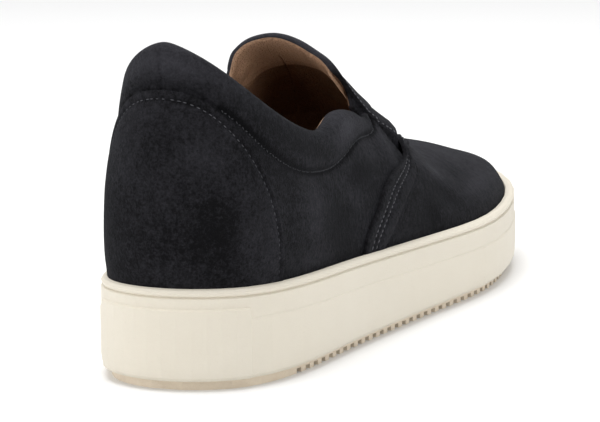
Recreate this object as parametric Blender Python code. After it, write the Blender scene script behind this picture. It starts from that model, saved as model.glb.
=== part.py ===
"""Low slip-on sneaker for the right foot, heel at -Y, toe at +Y, outer side at +X, ground at Z = 0."""

import bpy
import bmesh
import numpy as np


def table(columns, rows):
    """Give a table's columns by name."""
    return dict(zip(columns.split(), np.array(rows, dtype=float).T))


# Driving sizes of the shoe, in metres
soleLength = 0.300
ballWidth = 0.107
collarHeight = 0.1120
tongueHeight = 0.1055
rimHeight = 0.0335
toeSpring = 0.0071

# Sizes of the pieces
gap = 0.0003
wall = 0.0020
ledge = 0.0045
outsoleThickness = 0.0027
soleStart = outsoleThickness + gap
lipInset = 0.0040
floorThickness = 0.0100
insoleThickness = 0.0045
toothPitch = 0.0060
toothDepth = 0.0016
toothReach = 0.0100
heelLip = 0.0360
beadHeight = 0.0027
wrapStep = 0.0009
sideStep = 0.0004
wrapTop = 0.0066
sideTop = 0.0099
padDepth = 0.0045
padPuff = 0.0016
insoleGap = 0.0005
tongueThickness = 0.0032
overlayThickness = 0.0012
overlayGap = 0.00048

# Share of the sole's length, then half widths as shares of the ball width
outline = table("along lateral medial", [
    (0.000, 0.000, 0.000),
    (0.033, 0.225, 0.222),
    (0.120, 0.332, 0.325),
    (0.250, 0.370, 0.340),
    (0.375, 0.405, 0.345),
    (0.510, 0.452, 0.392),
    (0.635, 0.493, 0.467),
    (0.750, 0.470, 0.503),
    (0.885, 0.364, 0.425),
    (0.972, 0.182, 0.255),
    (1.000, -0.045, 0.045),
])

# Height of the sole's rim along the sole, as a share of its height at the heel
rimLine = table("along height", [
    (0.00, 1.000),
    (0.25, 0.937),
    (0.50, 0.860),
    (0.75, 0.854),
    (1.00, 0.955),
])

# Midsole's section: lower edge over the outsole, then the bead under the rim as shares of its height
cupFoot = table("inset rise", [
    (0.0030, 0.0000),
    (0.0012, 0.0003),
    (0.0003, 0.0014),
    (0.0000, 0.0042),
])
cupBead = table("inset drop", [
    (0.00, 1.20),
    (0.31, 1.02),
    (0.08, 0.80),
    (0.00, 0.48),
    (0.28, 0.15),
    (0.70, 0.00),
])

# Edge of the opening for the same stations: the collar, then the top of the tongue
topline = table("along lateral medial height", [
    (0.020, 0.000, 0.000, 0.984),
    (0.048, 0.130, 0.126, 0.925),
    (0.124, 0.232, 0.229, 0.774),
    (0.250, 0.279, 0.279, 0.657),
    (0.322, 0.272, 0.272, 0.698),
    (0.408, 0.250, 0.253, 0.664),
    (0.378, 0.206, 0.194, 0.823),
    (0.368, 0.145, 0.153, 0.889),
    (0.361, 0.084, 0.096, 0.926),
    (0.358, 0.036, 0.038, 0.943),
    (0.357, 0.000, 0.000, 0.947),
])

# Ridge of the instep and toe: height as a share of the tongue's height, fullness of the section
ridge = table("along height side fullness", [
    (0.300, 1.030, 0.000, 1.75),
    (0.357, 1.008, 0.000, 1.75),
    (0.433, 0.904, -0.014, 1.75),
    (0.500, 0.812, -0.022, 1.74),
    (0.567, 0.658, -0.026, 1.60),
    (0.637, 0.534, -0.030, 1.68),
    (0.700, 0.511, -0.040, 1.85),
    (0.760, 0.484, -0.056, 2.00),
    (0.830, 0.440, -0.068, 2.15),
    (0.900, 0.392, -0.070, 2.20),
    (0.940, 0.362, -0.047, 2.15),
    (0.970, 0.332, -0.019, 2.10),
    (0.984, 0.299, 0.000, 2.00),
])

# Back half: how late the wall turns in, and its swell over the rim as a share of the ledge
lean = table("power swell", [
    (3.0, 0.40),
    (2.3, 0.38),
    (2.1, 0.32),
    (1.8, 0.20),
    (1.6, 0.10),
])

# Lower edge of the padded collar, as a share of the way up the wall
padEdge = (0.880, 0.832, 0.715, 0.700, 0.860, 1.000)

# Edges of the vamp band: station and share of the way up
band = table("rearTurn rearUp frontTurn frontUp", [
    (3.48, 0.008, 3.92, 0.008),
    (3.56, 0.140, 4.17, 0.125),
    (3.87, 0.300, 4.48, 0.265),
    (4.24, 0.455, 4.86, 0.365),
    (4.72, 0.546, 5.42, 0.460),
    (5.60, 0.560, 6.05, 0.505),
    (8.00, 0.548, 8.00, 0.492),
    (10.00, 0.545, 10.00, 0.488),
])

# Edge of the upper from the collar round the quarter's corner to the throat
throatEdge = table("turn share", [
    (4.90, 1.000),
    (5.10, 0.980),
    (5.22, 0.935),
    (5.31, 0.860),
    (5.38, 0.720),
    (5.45, 0.610),
    (5.54, 0.572),
    (8.00, 0.556),
    (10.00, 0.553),
])
cornerColumns = throatEdge["turn"][:-2]

# Stations round the shoe: where the toe, the throat and the ends of the sole's wraps lie
stationCount = 20
toeStation = 10
wrapEnd = 1.14
toeWrap = 8.48
wrapSlope = 0.012
quarterStation = 2.9
levels = np.array([0.0, 0.07, 0.16, 0.32, 0.53, 0.76, 1.0])

# Share of the way up of each ring of the upper's outer and inner faces
outerRings = np.array([0.0, 0.04, 0.10, 0.18, 0.27, 0.37, 0.48, 0.59, 0.70, 0.78, 0.845, 0.92, 0.985])
innerRings = np.array([0.985, 0.92, 0.82, 0.66, 0.47, 0.28, 0.12])
edgeRound = 0.42
padFade = 4.3, 0.5

# Heel counter's arch: half width in stations, share of the way up, fullness
arch = {"turn": 1.77, "up": 0.835, "fullness": 2.9}

# Tongue: share it reaches below the throat, and the stations of its sides at the foot and the top
tongueTuck = 0.055
tongueRise = 0.0010
tongueSide = {"foot": 4.82, "top": 5.27}


# Curves through the tables

def natural(knots, values, at):
    """Smooth curve through values, straight at both ends."""
    values = np.asarray(values, dtype=float)
    step = np.diff(knots)
    count = len(knots)
    matrix = np.eye(count)
    right = np.zeros((count, values.shape[1]))
    for i in range(1, count - 1):
        matrix[i, i - 1:i + 2] = step[i - 1], 2 * (step[i - 1] + step[i]), step[i]
        right[i] = 6 * ((values[i + 1] - values[i]) / step[i] - (values[i] - values[i - 1]) / step[i - 1])
    bend = np.linalg.solve(matrix, right)
    at = np.atleast_1d(at)
    k = np.clip(np.searchsorted(knots, at, side="right") - 1, 0, count - 2)
    a = ((knots[k + 1] - at) / step[k])[:, None]
    b = 1 - a
    curve = (a ** 3 - a) * bend[k] + (b ** 3 - b) * bend[k + 1]
    return a * values[k] + b * values[k + 1] + curve * step[k][:, None] ** 2 / 6


def around(knots, values, at):
    """Smooth closed curve through values; the last knot is the first point again."""
    values = np.asarray(values, dtype=float)
    step = np.diff(knots)
    count = len(values)
    matrix = np.zeros((count, count))
    right = np.zeros((count, values.shape[1]))
    for i in range(count):
        before, after = (i - 1) % count, (i + 1) % count
        matrix[i, before] += step[before]
        matrix[i, i] += 2 * (step[before] + step[i])
        matrix[i, after] += step[i]
        slopeOut = (values[after] - values[i]) / step[i]
        slopeIn = (values[i] - values[before]) / step[before]
        right[i] = 6 * (slopeOut - slopeIn)
    bend = np.linalg.solve(matrix, right)
    at = np.mod(np.atleast_1d(at), knots[-1])
    k = np.clip(np.searchsorted(knots, at, side="right") - 1, 0, count - 1)
    after = (k + 1) % count
    a = ((knots[k + 1] - at) / step[k])[:, None]
    b = 1 - a
    curve = (a ** 3 - a) * bend[k] + (b ** 3 - b) * bend[after]
    return a * values[k] + b * values[after] + curve * step[k][:, None] ** 2 / 6


def ease(x):
    """Go smoothly from 0 to 1."""
    x = np.clip(x, 0.0, 1.0)
    return x * x * (3 - 2 * x)


def side(turn):
    """Station on the outer side for a station anywhere round the shoe."""
    return toeStation - np.abs(toeStation - np.mod(turn, stationCount))


# Sole outline: stations run from the heel along the outer side to the toe and back

medialRows = slice(-2, 0, -1)
stationY = (np.r_[outline["along"], outline["along"][medialRows]] - 0.5) * soleLength
stationX = np.r_[outline["lateral"], -outline["medial"][medialRows]] * ballWidth
stationXY = np.c_[stationX, stationY]
distance = np.r_[0, np.cumsum(np.linalg.norm(np.roll(stationXY, -1, axis=0) - stationXY, axis=1))]


def travel(turn):
    """Distance round the outline for a station number."""
    return np.interp(np.mod(turn, stationCount), np.arange(stationCount + 1), distance)


def outlineAt(turn, inset):
    """Point of the sole's outline, moved in by an inset."""
    at = travel(turn)
    reach = 0.0002
    along = around(distance, stationXY, at + reach) - around(distance, stationXY, at - reach)
    along /= np.linalg.norm(along, axis=1)[:, None]
    across = np.c_[along[:, 1], -along[:, 0]]
    return around(distance, stationXY, at) - np.reshape(inset, (-1, 1)) * across - centre


centre = np.zeros(2)
everywhere = outlineAt(np.linspace(0, stationCount, 2000, endpoint=False), 0.0)
centre = (everywhere.min(axis=0) + everywhere.max(axis=0)) / 2


def rim(y):
    """Height of the sole's rim."""
    share = np.asarray(y, dtype=float) / soleLength + 0.5
    heights = natural(rimLine["along"], rimLine["height"][:, None], share.ravel())
    return rimHeight * heights.reshape(share.shape)


def spring(y):
    """Rise of the underside towards the toe."""
    return toeSpring * np.clip((np.asarray(y) - 0.2 * soleLength) / (0.3 * soleLength), 0, 1) ** 2


# The last: one surface from the rim to the edge of the opening

featherInset = ledge + gap
feather = outlineAt(np.arange(stationCount), featherInset)
featherOut = (outlineAt(np.arange(stationCount), 0.0) - feather) / featherInset
featherFine = outlineAt(np.linspace(0, stationCount, 800), featherInset)


def halfWidth(y, sign):
    """Edge of the upper at the rim on one side of the shoe."""
    half = featherFine[:400] if sign > 0 else featherFine[:399:-1]
    return np.interp(y, half[:, 1], half[:, 0])


ridgeShape = np.c_[ridge["height"] * tongueHeight, ridge["side"] * ballWidth, ridge["fullness"]]


def sectionHeight(x, y):
    """Height of the instep or the toe box over a point of the plan."""
    share = y / soleLength + 0.5
    top, middle, power = natural(ridge["along"], ridgeShape, share)[0]
    edge = halfWidth(y, 1 if x > middle else -1)
    out = min(abs((x - middle) / (edge - middle)), 1.0)
    return rim(y) + (top - rim(y)) * (1 - out ** power) ** (1 / power)


def frontRib(start, end):
    """Points from the rim to the tongue's edge over the sections."""
    share = 1 - np.cos(np.linspace(0, np.pi / 2, 200))
    plan = start[None, :2] + (end - start)[None, :2] * share[:, None]
    height = np.array([sectionHeight(x, y) for x, y in plan])
    height[0] = start[2]
    height += (end[2] - height[-1]) * share ** 2
    path = np.c_[plan, height]
    length = np.r_[0, np.cumsum(np.linalg.norm(np.diff(path, axis=0), axis=1))]
    return np.array([np.interp(levels * length[-1], length, path[:, i]) for i in range(3)]).T


def backRib(start, end, out, power, swell):
    """Points from the rim to the collar: up, out a little over the rim, then in."""
    swelling = swell * ledge * 6.75 * levels * (1 - levels) ** 2
    plan = start[:2] + np.outer(levels ** power, end[:2] - start[:2]) + np.outer(swelling, out)
    return np.c_[plan, start[2] + (end[2] - start[2]) * levels]


def ribs():
    """All the ribs round the shoe."""
    found = []
    for number in range(stationCount):
        row = int(side(number))
        outer = number <= toeStation
        start = np.r_[feather[number], rim(feather[number][1])]
        end = np.array([
            (topline["lateral"][row] if outer else -topline["medial"][row]) * ballWidth,
            (topline["along"][row] - 0.5) * soleLength,
            topline["height"][row] * collarHeight,
        ])
        if row < len(lean["power"]):
            out = featherOut[number]
            found.append(backRib(start, end, out, lean["power"][row], lean["swell"][row]))
        else:
            found.append(frontRib(start, end))
    return np.array(found)


ribPoints = ribs()


def last(turn, up):
    """Point of the last's surface: station round the shoe, share of the way up."""
    turn, up = np.broadcast_arrays(np.atleast_1d(turn).astype(float), up)
    shape = turn.shape
    turn, up = turn.ravel(), up.ravel()
    rows = around(distance, ribPoints.reshape(stationCount, -1), travel(turn))
    weights = natural(levels, np.eye(len(levels)), np.clip(up, 0, 1))
    points = np.einsum("nk,nkc->nc", weights, rows.reshape(-1, len(levels), 3))
    return points.reshape(shape + (3,))


def outward(turn, up):
    """Direction straight out of the last's surface."""
    reach = 0.004
    low = np.clip(np.asarray(up, dtype=float) - reach, 0, 1)
    high = np.clip(np.asarray(up, dtype=float) + reach, 0, 1)
    forward = last(np.asarray(turn) + reach * 5, up) - last(np.asarray(turn) - reach * 5, up)
    rising = last(turn, high) - last(turn, low)
    normal = np.cross(forward, rising)
    return normal / np.linalg.norm(normal, axis=-1)[..., None]


def padShare(turn, up):
    """How far into the padded collar a point lies, from its seam to the edge."""
    near = side(turn)
    edge = np.interp(near, np.arange(len(padEdge)), padEdge)
    present = 1 - ease((near - padFade[0]) / padFade[1])
    return np.clip((up - edge) / np.maximum(1 - edge, 0.02), 0, 1), present


def upperOffset(turn, up, inner):
    """Distance of the upper's outer or inner face from the last."""
    share, present = padShare(turn, up)
    if inner:
        return -(wall + padDepth * present * ease(share * 1.6))
    return padPuff * present * np.sqrt(np.clip(share * (2 - share), 0, 1))


def edgeShare(turn):
    """Share of the way up at which the upper ends: the collar, or the throat."""
    return np.interp(side(turn), throatEdge["turn"], throatEdge["share"])


# Meshes

def finish(name, mesh, colour, roughness, smoothAngle=40):
    """Add a closed mesh as one named object with its own material."""
    bmesh.ops.recalc_face_normals(mesh, faces=mesh.faces)
    data = bpy.data.meshes.new(name)
    mesh.to_mesh(data)
    mesh.free()
    data.shade_smooth()
    data.set_sharp_from_angle(angle=np.radians(smoothAngle))
    material = bpy.data.materials.new(name)
    material.use_nodes = True
    shader = material.node_tree.nodes["Principled BSDF"]
    shader.inputs["Base Color"].default_value = (*colour, 1)
    shader.inputs["Roughness"].default_value = roughness
    shader.inputs["Metallic"].default_value = 0
    data.materials.append(material)
    item = bpy.data.objects.new(name, data)
    bpy.context.scene.collection.objects.link(item)
    return item


def ringFaces(mesh, low, high):
    """Join two rings of points with faces."""
    count = len(low)
    for i in range(count):
        j = (i + 1) % count
        mesh.faces.new((low[i], low[j], high[j], high[i]))


def ladder(mesh, ring):
    """Close a ring with strips from one side of the shoe to the other."""
    count = len(ring)
    mesh.faces.new((ring[0], ring[1], ring[-1]))
    for i in range(1, count // 2 - 1):
        mesh.faces.new((ring[i], ring[i + 1], ring[count - i - 1], ring[count - i]))
    middle = count // 2
    mesh.faces.new((ring[middle - 1], ring[middle], ring[middle + 1]))


def ringBody(rings, joined):
    """Body from rings: joined into a hollow band, or closed by a ladder at each end."""
    mesh = bmesh.new()
    made = [[mesh.verts.new(point) for point in ring] for ring in rings]
    for low, high in zip(made, made[1:]):
        ringFaces(mesh, low, high)
    if joined:
        ringFaces(mesh, made[-1], made[0])
    else:
        ladder(mesh, made[0])
        ladder(mesh, made[-1])
    return mesh


def sheetBody(outer, inner):
    """Body from two grids of points, one over the other."""
    mesh = bmesh.new()
    rows, columns = outer.shape[:2]
    top = [[mesh.verts.new(point) for point in row] for row in outer]
    low = [[mesh.verts.new(point) for point in row] for row in inner]
    for i in range(rows - 1):
        for j in range(columns - 1):
            mesh.faces.new((top[i][j], top[i][j + 1], top[i + 1][j + 1], top[i + 1][j]))
            mesh.faces.new((low[i][j], low[i + 1][j], low[i + 1][j + 1], low[i][j + 1]))
    for i in range(rows - 1):
        mesh.faces.new((top[i][0], top[i + 1][0], low[i + 1][0], low[i][0]))
        mesh.faces.new((top[i + 1][-1], top[i][-1], low[i][-1], low[i + 1][-1]))
    for j in range(columns - 1):
        mesh.faces.new((top[0][j + 1], top[0][j], low[0][j], low[0][j + 1]))
        mesh.faces.new((top[-1][j], top[-1][j + 1], low[-1][j + 1], low[-1][j]))
    return mesh


def mirrored(half):
    """Stations of the outer side followed by the same ones of the inner side."""
    half = np.asarray(half, dtype=float)
    return np.r_[half, stationCount - half[-2:0:-1]]


# Outsole: a plate with a smooth lip at the heel and teeth along both sides

def outsole():
    edge = outlineAt(np.linspace(0, stationCount, 1600), lipInset)
    outer = edge[:800]
    inner = edge[:799:-1]
    back, front = edge[:, 1].min(), edge[:, 1].max()
    turn = np.linspace(0, np.pi / 2, 10)[1:]
    heelRows = back + (heelLip - lipInset) * (1 - np.cos(turn))
    teethEnd = soleLength / 2 - 2 * toothPitch
    count = int((teethEnd - heelRows[-1]) / toothPitch)
    teethRows = heelRows[-1] + np.arange(1, 2 * count + 1) * toothPitch / 2
    toeRows = front - (front - teethRows[-1]) * (1 - np.sin(np.linspace(0, np.pi / 2, 8)[1:-1]))
    rows = np.r_[heelRows, teethRows, toeRows]
    notched = np.zeros(len(rows) - 1, dtype=bool)
    notched[len(heelRows):len(heelRows) + 2 * count - 1:2] = True
    mesh = bmesh.new()
    points = []
    for y in rows:
        left = np.interp(y, outer[:, 1], outer[:, 0])
        right = np.interp(y, inner[:, 1], inner[:, 0])
        reach = min(toothReach, (left - right) * 0.3)
        across = (left, left - reach, right + reach, right)
        heights = np.array([0.0, toothDepth, outsoleThickness]) + spring(y)
        points.append([[mesh.verts.new((x, y, z)) for z in heights] for x in across])
    low, mid, top = 0, 1, 2
    for k in range(len(rows) - 1):
        here, ahead = points[k], points[k + 1]
        for c in range(3):
            mesh.faces.new((here[c][top], ahead[c][top], ahead[c + 1][top], here[c + 1][top]))
            level = mid if notched[k] and c != 1 else low
            mesh.faces.new((here[c][level], here[c + 1][level], ahead[c + 1][level], ahead[c][level]))
        for c in (0, 3):
            mesh.faces.new((here[c][mid], ahead[c][mid], ahead[c][top], here[c][top]))
            wallColumn = (1 if c == 0 else 2) if notched[k] else c
            mesh.faces.new((here[wallColumn][low], ahead[wallColumn][low],
                            ahead[wallColumn][mid], here[wallColumn][mid]))
    for k in range(len(rows)):
        before = notched[k - 1] if k > 0 else False
        after = notched[k] if k < len(rows) - 1 else False
        if before != after:
            for c in (0, 2):
                a, b = points[k][c], points[k][c + 1]
                mesh.faces.new((a[low], b[low], b[mid], a[mid]))
    for k in (0, -1):
        for c in range(3):
            a, b = points[k][c], points[k][c + 1]
            mesh.faces.new((a[low], b[low], b[mid], a[mid]))
            mesh.faces.new((a[mid], b[mid], b[top], a[top]))
    return finish("outsole", mesh, (0.66, 0.60, 0.48), 0.75, 30)


# Midsole: a cup with a rim bead, a groove, a raised heel and toe wrap and a step along the side

def midsole():
    half = np.r_[
        np.linspace(0, wrapEnd - wrapSlope, 7),
        np.linspace(wrapEnd + wrapSlope, quarterStation, 7)[:-1],
        np.linspace(quarterStation, toeWrap - wrapSlope, 16),
        np.linspace(toeWrap + wrapSlope, toeStation, 8),
    ]
    turn = mirrored(half)
    near = side(turn)
    wrapped = (near < wrapEnd) | (near > toeWrap)
    faceInset = np.where(wrapped, 0.0, wrapStep - sideStep)
    stepDrop = np.where(wrapped, wrapTop, sideTop)

    def ring(inset, height):
        xy = outlineAt(turn, inset)
        return np.c_[xy, height(xy[:, 1])]

    def fromGround(rise):
        return lambda y: spring(y) + rise

    def fromRim(drop):
        return lambda y: rim(y) - drop

    foot = zip(cupFoot["inset"], cupFoot["rise"])
    bead = zip(cupBead["inset"] * beadHeight, cupBead["drop"] * beadHeight)
    rings = [ring(faceInset * (rise > 0) + inset, fromGround(soleStart + rise)) for inset, rise in foot]
    rings.append(ring(faceInset, fromRim(stepDrop + sideStep)))
    rings.append(ring(wrapStep, fromRim(stepDrop - sideStep / 2)))
    rings += [ring(wrapStep + inset, fromRim(drop)) for inset, drop in bead]
    rings.append(ring(ledge - gap, fromRim(gap)))
    rings.append(ring(ledge, fromRim(3 * gap)))
    rings.append(ring(ledge, fromGround(soleStart + floorThickness)))
    mesh = ringBody(rings, joined=False)
    return finish("midsole", mesh, (0.80, 0.74, 0.62), 0.6, 35)


# Insole: a flat footbed on the cup's floor, inside the upper's wall

def insole():
    turn = mirrored(np.linspace(0, toeStation, 28))
    inset = featherInset + wall + insoleGap
    bottom = soleStart + floorThickness + gap

    def ring(extra, rise):
        xy = outlineAt(turn, inset + extra)
        return np.c_[xy, spring(xy[:, 1]) + bottom + rise]

    rings = [
        ring(0.0004, 0.0),
        ring(0.0, 0.0004),
        ring(0.0, insoleThickness - 0.0010),
        ring(0.0008, insoleThickness),
    ]
    mesh = ringBody(rings, joined=False)
    return finish("insole", mesh, (0.42, 0.27, 0.16), 0.7)


# Upper: one hollow wall, from the cup's floor over the rim to the collar and the throat

def upper():
    half = np.r_[
        np.linspace(0, wrapEnd, 7)[:-1],
        np.linspace(wrapEnd, cornerColumns[0], 15)[:-1],
        cornerColumns,
        np.linspace(cornerColumns[-1], toeStation, 16)[1:],
    ]
    turn = mirrored(half)
    top = edgeShare(turn)
    foot = outlineAt(turn, featherInset)
    footInner = outlineAt(turn, featherInset + wall)
    footHeight = spring(foot[:, 1]) + soleStart + floorThickness + gap

    def face(share, inside):
        up = top * share
        return last(turn, up) + outward(turn, up) * upperOffset(turn, up, inside)[:, None]

    highest = outerRings[-1]
    outerTop, innerTop = face(highest, False), face(highest, True)
    rising = last(turn, top) - last(turn, top * highest)
    rising /= np.linalg.norm(rising, axis=1)[:, None]
    thickness = np.linalg.norm(outerTop - innerTop, axis=1)[:, None]
    rings = [np.c_[foot, footHeight]]
    rings += [face(share, False) for share in outerRings]
    for angle in np.radians([45, 90, 135]):
        across = (1 - np.cos(angle)) / 2
        rise = np.sin(angle) * thickness * edgeRound
        rings.append(outerTop * (1 - across) + innerTop * across + rising * rise)
    rings += [face(share, True) for share in innerRings]
    rings.append(np.c_[footInner, rim(footInner[:, 1])])
    rings.append(np.c_[footInner, footHeight])
    mesh = ringBody(rings, joined=True)
    return finish("upper", mesh, (0.030, 0.032, 0.040), 0.9, 60)


# Tongue: under the throat's edges, standing above the collar

def tongue():
    c = np.linspace(-1, 1, 28)[None, :]
    r = np.r_[0, 0.05, 0.12, np.linspace(0.22, 1, 7)][:, None]
    sideStation = tongueSide["foot"] + (tongueSide["top"] - tongueSide["foot"]) * ease(r)
    turn = toeStation + c * (toeStation - sideStation)
    low = throatEdge["share"][-1] - tongueTuck
    up = low + (1 - low) * r + 0 * c
    risen = ease((up - throatEdge["share"][-1]) / 0.12 - 0.1) * ease((side(turn) - cornerColumns[-1]) / 0.4)
    outerDepth = (wall + gap - tongueRise * risen)[..., None]
    normal = outward(turn, up)
    base = last(turn, up)
    outer = base - normal * outerDepth
    inner = base - normal * (outerDepth + tongueThickness)
    mesh = sheetBody(outer, inner)
    return finish("tongue", mesh, (0.030, 0.032, 0.040), 0.9, 60)


# Heel counter: an arched panel over the back of the quarters

def heelCounter():
    angle = np.radians(np.r_[0.2, 4, 12, 22, 33, 44, 55, 65, 75, 84])[:, None]
    c = np.linspace(-1, 1, 21)[None, :]
    turn = arch["turn"] * np.cos(angle) ** (2 / arch["fullness"]) * c
    up = arch["up"] * np.sin(angle) ** (2 / arch["fullness"]) + 0 * c
    return overlay("heel_counter", turn, up)


def overlay(name, turn, up):
    """Thin panel lying on the upper."""
    base = last(turn, up)
    normal = outward(turn, up)
    rest = upperOffset(turn, up, False)[..., None]
    outer = base + normal * (rest + overlayGap + overlayThickness)
    inner = base + normal * (rest + overlayGap)
    mesh = sheetBody(outer, inner)
    return finish(name, mesh, (0.030, 0.032, 0.040), 0.9, 50)


# Vamp band: from rim to rim round the throat

def vampBand():
    knots = np.arange(len(band["rearTurn"]), dtype=float)
    at = np.linspace(0, knots[-1], 27)
    curve = {key: natural(knots, values[:, None], at)[:, 0] for key, values in band.items()}
    both = {key: np.r_[values, values[-2::-1]] for key, values in curve.items()}
    for key in ("rearTurn", "frontTurn"):
        both[key][len(at):] = stationCount - both[key][len(at):]
    across = np.linspace(0, 1, 4)[:, None]
    turn = both["rearTurn"] * (1 - across) + both["frontTurn"] * across
    up = both["rearUp"] * (1 - across) + both["frontUp"] * across
    return overlay("vamp_band", turn, up)


for item in list(bpy.data.objects):
    bpy.data.objects.remove(item, do_unlink=True)

outsole()
midsole()
insole()
upper()
tongue()
heelCounter()
vampBand()
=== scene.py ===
import bmesh
import bpy
import numpy as np
from mathutils import Matrix, Vector
from mathutils.kdtree import KDTree


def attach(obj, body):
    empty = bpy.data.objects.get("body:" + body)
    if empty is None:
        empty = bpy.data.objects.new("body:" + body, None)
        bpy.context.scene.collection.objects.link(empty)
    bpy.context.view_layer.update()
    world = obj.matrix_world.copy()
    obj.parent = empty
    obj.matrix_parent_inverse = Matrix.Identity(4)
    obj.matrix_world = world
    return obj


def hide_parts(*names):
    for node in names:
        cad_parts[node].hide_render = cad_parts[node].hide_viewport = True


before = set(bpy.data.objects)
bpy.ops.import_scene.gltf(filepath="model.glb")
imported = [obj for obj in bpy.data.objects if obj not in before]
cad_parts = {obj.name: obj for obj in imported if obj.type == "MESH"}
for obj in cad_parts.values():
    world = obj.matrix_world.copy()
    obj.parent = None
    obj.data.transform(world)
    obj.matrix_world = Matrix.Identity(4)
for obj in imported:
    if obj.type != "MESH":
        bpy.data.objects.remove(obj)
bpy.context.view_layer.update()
print("frame loaded:", ", ".join(sorted(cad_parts)))


# Sizes of the shoe, in metres, the same as the solids have

shoe = {
    "soleLength": 0.300,
    "ballWidth": 0.107,
    "collarHeight": 0.1120,
    "tongueHeight": 0.1055,
    "rimHeight": 0.0335,
    "toeSpring": 0.0071,
    "ledge": 0.0045,  # from the sole's outline to the upper
    "gap": 0.0003,
    "wall": 0.0020,
    "padDepth": 0.0045,
    "outsole": 0.0027,
    "cupFloor": 0.0100,
    "stations": 20,  # numbered from the heel along the outer side, with the toe at half
}


def table(columns, rows):
    return dict(zip(columns.split(), np.array(rows, dtype=float).T))


# Share of the sole's length, then half widths as shares of the ball width
outline = table("along lateral medial", [
    (0.000, 0.000, 0.000),
    (0.033, 0.225, 0.222),
    (0.120, 0.332, 0.325),
    (0.250, 0.370, 0.340),
    (0.375, 0.405, 0.345),
    (0.510, 0.452, 0.392),
    (0.635, 0.493, 0.467),
    (0.750, 0.470, 0.503),
    (0.885, 0.364, 0.425),
    (0.972, 0.182, 0.255),
    (1.000, -0.045, 0.045),
])

# Height of the sole's rim along the sole, as a share of its height at the heel
rimLine = table("along height", [
    (0.00, 1.000),
    (0.25, 0.937),
    (0.50, 0.860),
    (0.75, 0.854),
    (1.00, 0.955),
])

# Edge of the opening: the collar, then the top of the tongue
topline = table("along lateral medial height", [
    (0.020, 0.000, 0.000, 0.984),
    (0.048, 0.130, 0.126, 0.925),
    (0.124, 0.232, 0.229, 0.774),
    (0.250, 0.279, 0.279, 0.657),
    (0.322, 0.272, 0.272, 0.698),
    (0.408, 0.250, 0.253, 0.664),
    (0.378, 0.206, 0.194, 0.823),
    (0.368, 0.145, 0.153, 0.889),
    (0.361, 0.084, 0.096, 0.926),
    (0.358, 0.036, 0.038, 0.943),
    (0.357, 0.000, 0.000, 0.947),
])

# Ridge of the instep and toe box
ridge = table("along height side fullness", [
    (0.300, 1.030, 0.000, 1.75),
    (0.357, 1.008, 0.000, 1.75),
    (0.433, 0.904, -0.014, 1.75),
    (0.500, 0.812, -0.022, 1.74),
    (0.567, 0.658, -0.026, 1.60),
    (0.637, 0.534, -0.030, 1.68),
    (0.700, 0.511, -0.040, 1.85),
    (0.760, 0.484, -0.056, 2.00),
    (0.830, 0.440, -0.068, 2.15),
    (0.900, 0.392, -0.070, 2.20),
    (0.940, 0.362, -0.047, 2.15),
    (0.970, 0.332, -0.019, 2.10),
    (0.984, 0.299, 0.000, 2.00),
])

# Back half: how late the wall turns in, and its swell over the rim
lean = table("power swell", [
    (3.0, 0.40),
    (2.3, 0.38),
    (2.1, 0.32),
    (1.8, 0.20),
    (1.6, 0.10),
])

levels = np.array([0.0, 0.07, 0.16, 0.32, 0.53, 0.76, 1.0])


# Curves through the tables

def naturalCurve(knots, values, at):
    values = np.asarray(values, dtype=float)
    step = np.diff(knots)
    count = len(knots)
    matrix = np.eye(count)
    right = np.zeros((count, values.shape[1]))
    for i in range(1, count - 1):
        matrix[i, i - 1:i + 2] = step[i - 1], 2 * (step[i - 1] + step[i]), step[i]
        right[i] = 6 * ((values[i + 1] - values[i]) / step[i] - (values[i] - values[i - 1]) / step[i - 1])
    bend = np.linalg.solve(matrix, right)
    at = np.atleast_1d(at)
    k = np.clip(np.searchsorted(knots, at, side="right") - 1, 0, count - 2)
    a = ((knots[k + 1] - at) / step[k])[:, None]
    b = 1 - a
    curve = (a ** 3 - a) * bend[k] + (b ** 3 - b) * bend[k + 1]
    return a * values[k] + b * values[k + 1] + curve * step[k][:, None] ** 2 / 6


def closedCurve(knots, values, at):
    values = np.asarray(values, dtype=float)
    step = np.diff(knots)
    count = len(values)
    matrix = np.zeros((count, count))
    right = np.zeros((count, values.shape[1]))
    for i in range(count):
        before, after = (i - 1) % count, (i + 1) % count
        matrix[i, before] += step[before]
        matrix[i, i] += 2 * (step[before] + step[i])
        matrix[i, after] += step[i]
        slopeOut = (values[after] - values[i]) / step[i]
        slopeIn = (values[i] - values[before]) / step[before]
        right[i] = 6 * (slopeOut - slopeIn)
    bend = np.linalg.solve(matrix, right)
    at = np.mod(np.atleast_1d(at), knots[-1])
    k = np.clip(np.searchsorted(knots, at, side="right") - 1, 0, count - 1)
    after = (k + 1) % count
    a = ((knots[k + 1] - at) / step[k])[:, None]
    b = 1 - a
    curve = (a ** 3 - a) * bend[k] + (b ** 3 - b) * bend[after]
    return a * values[k] + b * values[after] + curve * step[k][:, None] ** 2 / 6


def ease(x):
    x = np.clip(x, 0.0, 1.0)
    return x * x * (3 - 2 * x)


def bell(x):  # 1 at nought, fading to 0 on both sides
    return np.exp(-x ** 2)


def unit(vectors):
    return vectors / np.linalg.norm(vectors, axis=-1)[..., None]


def lengthAlong(points):  # length of a path up to each of its points
    return np.r_[0, np.cumsum(np.linalg.norm(np.diff(points, axis=0), axis=1))]


def arcRise(x):  # from 0 to 1 like a quarter of a circle
    x = np.clip(x, 0, 1)
    return np.sqrt(x * (2 - x))


def nearSide(turn):  # station on the outer side for a station anywhere round the shoe
    half = shoe["stations"] / 2
    return half - np.abs(half - np.mod(turn, shoe["stations"]))


# The sole's outline and the last's surface

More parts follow.
